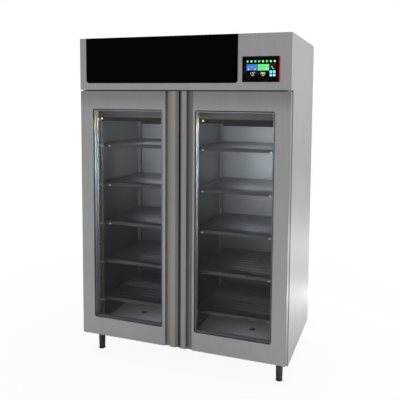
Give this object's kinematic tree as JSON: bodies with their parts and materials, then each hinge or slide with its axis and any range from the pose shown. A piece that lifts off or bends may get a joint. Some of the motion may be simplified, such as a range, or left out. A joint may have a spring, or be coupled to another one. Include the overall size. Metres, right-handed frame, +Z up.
{
  "type": "dry aging cabinet",
  "caption": "Upright stainless steel aging cabinet with glazed doors, sliding shelves, full-height handles, a touch screen and a machine compartment on top.",
  "frame": {"origin": "on the floor, under the middle of the cabinet's width and depth", "axes": "+Z up, -Y out of the doors, +X towards the right-hand side as seen from the front"},
  "size_m": [1.4, 0.79, 2.13],
  "materials": {
    "stainless": "satin",
    "liner_steel": "satin",
    "galvanised": "matte",
    "shelf": "satin",
    "bright_trim": "gloss",
    "handle": "satin",
    "glass": "gloss",
    "black_gloss": "gloss",
    "screen": "gloss",
    "black_plastic": "satin",
    "black_paint": "satin",
    "fins": "satin",
    "gasket": "matte",
    "lamp": "satin",
    "foam": "matte",
    "leg_plastic": "satin",
    "foot": "satin"
  },
  "bodies": {
    "cabinet": {"side_left": "stainless", "side_right": "stainless", "back_panel": "galvanised", "base_panel": "stainless", "roof_panel": "stainless", "machine_deck": "galvanised", "front_frame": "stainless", "body_foam": "foam", "liner_left": "liner_steel", "liner_right": "liner_steel", "floor_drains": "stainless", "rack_uprights": "liner_steel", "shelf_runners": "liner_steel", "lamp_strips": "lamp", "evaporator_cases": "liner_steel", "evaporator_coils": "fins", "condensing_base": "galvanised", "compressor": "black_paint", "condenser": "fins", "fan_shroud": "galvanised", "control_box": "black_plastic", "power_inlet": "black_plastic", "hinge_brackets": "stainless", "fascia_pivots": "stainless", "legs": "leg_plastic"},
    "left_door": {"door_skin_left": "stainless", "door_back_left": "liner_steel", "door_foam_left": "foam", "door_glazing_frame_left": "bright_trim", "door_glass_left": "glass", "door_gasket_left": "gasket", "door_handle_left": "handle"},
    "right_door": {"door_skin_right": "stainless", "door_back_right": "liner_steel", "door_foam_right": "foam", "door_glazing_frame_right": "bright_trim", "door_glass_right": "glass", "door_gasket_right": "gasket", "door_handle_right": "handle"},
    "fascia": {"fascia_panel": "stainless", "black_panel": "black_gloss", "screen_housing": "black_plastic", "touch_screen": "screen"},
    "left_shelf_1": {"shelf_left_1": "shelf"},
    "left_shelf_2": {"shelf_left_2": "shelf"},
    "left_shelf_3": {"shelf_left_3": "shelf"},
    "left_shelf_4": {"shelf_left_4": "shelf"},
    "left_shelf_5": {"shelf_left_5": "shelf"},
    "right_shelf_1": {"shelf_right_1": "shelf"},
    "right_shelf_2": {"shelf_right_2": "shelf"},
    "right_shelf_3": {"shelf_right_3": "shelf"},
    "right_shelf_4": {"shelf_right_4": "shelf"},
    "right_shelf_5": {"shelf_right_5": "shelf"},
    "front_left_foot": {"foot_front_left": "foot"},
    "front_right_foot": {"foot_front_right": "foot"},
    "rear_left_foot": {"foot_rear_left": "foot"},
    "rear_right_foot": {"foot_rear_right": "foot"},
    "left_evaporator_fan": {"evaporator_fan_left": "black_plastic"},
    "right_evaporator_fan": {"evaporator_fan_right": "black_plastic"},
    "condenser_fan_rotor": {"condenser_fan": "black_plastic"}
  },
  "joints": [
    {"name": "left_door_hinge", "type": "hinge", "parent": "cabinet", "child": "left_door", "pos_m": [-0.68, -0.374, 0.9755], "axis": [0, 0, -1], "range_deg": [0, 110]},
    {"name": "right_door_hinge", "type": "hinge", "parent": "cabinet", "child": "right_door", "pos_m": [0.68, -0.374, 0.9755], "axis": [0, 0, 1], "range_deg": [0, 110]},
    {"name": "fascia_hinge", "type": "hinge", "parent": "cabinet", "child": "fascia", "pos_m": [0, -0.336, 2.124], "axis": [-1, 0, 0], "range_deg": [0, 75]},
    {"name": "left_shelf_1_slide", "type": "slide", "parent": "cabinet", "child": "left_shelf_1", "axis": [0, -1, 0], "range_m": [0, 0.04]},
    {"name": "left_shelf_2_slide", "type": "slide", "parent": "cabinet", "child": "left_shelf_2", "axis": [0, -1, 0], "range_m": [0, 0.04]},
    {"name": "left_shelf_3_slide", "type": "slide", "parent": "cabinet", "child": "left_shelf_3", "axis": [0, -1, 0], "range_m": [0, 0.04]},
    {"name": "left_shelf_4_slide", "type": "slide", "parent": "cabinet", "child": "left_shelf_4", "axis": [0, -1, 0], "range_m": [0, 0.04]},
    {"name": "left_shelf_5_slide", "type": "slide", "parent": "cabinet", "child": "left_shelf_5", "axis": [0, -1, 0], "range_m": [0, 0.04]},
    {"name": "right_shelf_1_slide", "type": "slide", "parent": "cabinet", "child": "right_shelf_1", "axis": [0, -1, 0], "range_m": [0, 0.04]},
    {"name": "right_shelf_2_slide", "type": "slide", "parent": "cabinet", "child": "right_shelf_2", "axis": [0, -1, 0], "range_m": [0, 0.04]},
    {"name": "right_shelf_3_slide", "type": "slide", "parent": "cabinet", "child": "right_shelf_3", "axis": [0, -1, 0], "range_m": [0, 0.04]},
    {"name": "right_shelf_4_slide", "type": "slide", "parent": "cabinet", "child": "right_shelf_4", "axis": [0, -1, 0], "range_m": [0, 0.04]},
    {"name": "right_shelf_5_slide", "type": "slide", "parent": "cabinet", "child": "right_shelf_5", "axis": [0, -1, 0], "range_m": [0, 0.04]},
    {"name": "front_left_foot_turn", "type": "hinge", "parent": "cabinet", "child": "front_left_foot", "pos_m": [-0.634, -0.262, 0.04], "axis": [0, 0, 1], "continuous": true},
    {"name": "front_right_foot_turn", "type": "hinge", "parent": "cabinet", "child": "front_right_foot", "pos_m": [0.634, -0.262, 0.04], "axis": [0, 0, 1], "continuous": true},
    {"name": "rear_left_foot_turn", "type": "hinge", "parent": "cabinet", "child": "rear_left_foot", "pos_m": [-0.634, 0.33, 0.04], "axis": [0, 0, 1], "continuous": true},
    {"name": "rear_right_foot_turn", "type": "hinge", "parent": "cabinet", "child": "rear_right_foot", "pos_m": [0.634, 0.33, 0.04], "axis": [0, 0, 1], "continuous": true},
    {"name": "left_evaporator_fan_spin", "type": "hinge", "parent": "cabinet", "child": "left_evaporator_fan", "pos_m": [-0.3375, -0.03019, 1.65], "axis": [0, 0, 1], "continuous": true},
    {"name": "right_evaporator_fan_spin", "type": "hinge", "parent": "cabinet", "child": "right_evaporator_fan", "pos_m": [0.3375, -0.03019, 1.65], "axis": [0, 0, 1], "continuous": true},
    {"name": "condenser_fan_spin", "type": "hinge", "parent": "cabinet", "child": "condenser_fan_rotor", "pos_m": [-0.36, -0.15, 1.927], "axis": [0, 1, 0], "continuous": true}
  ]
}
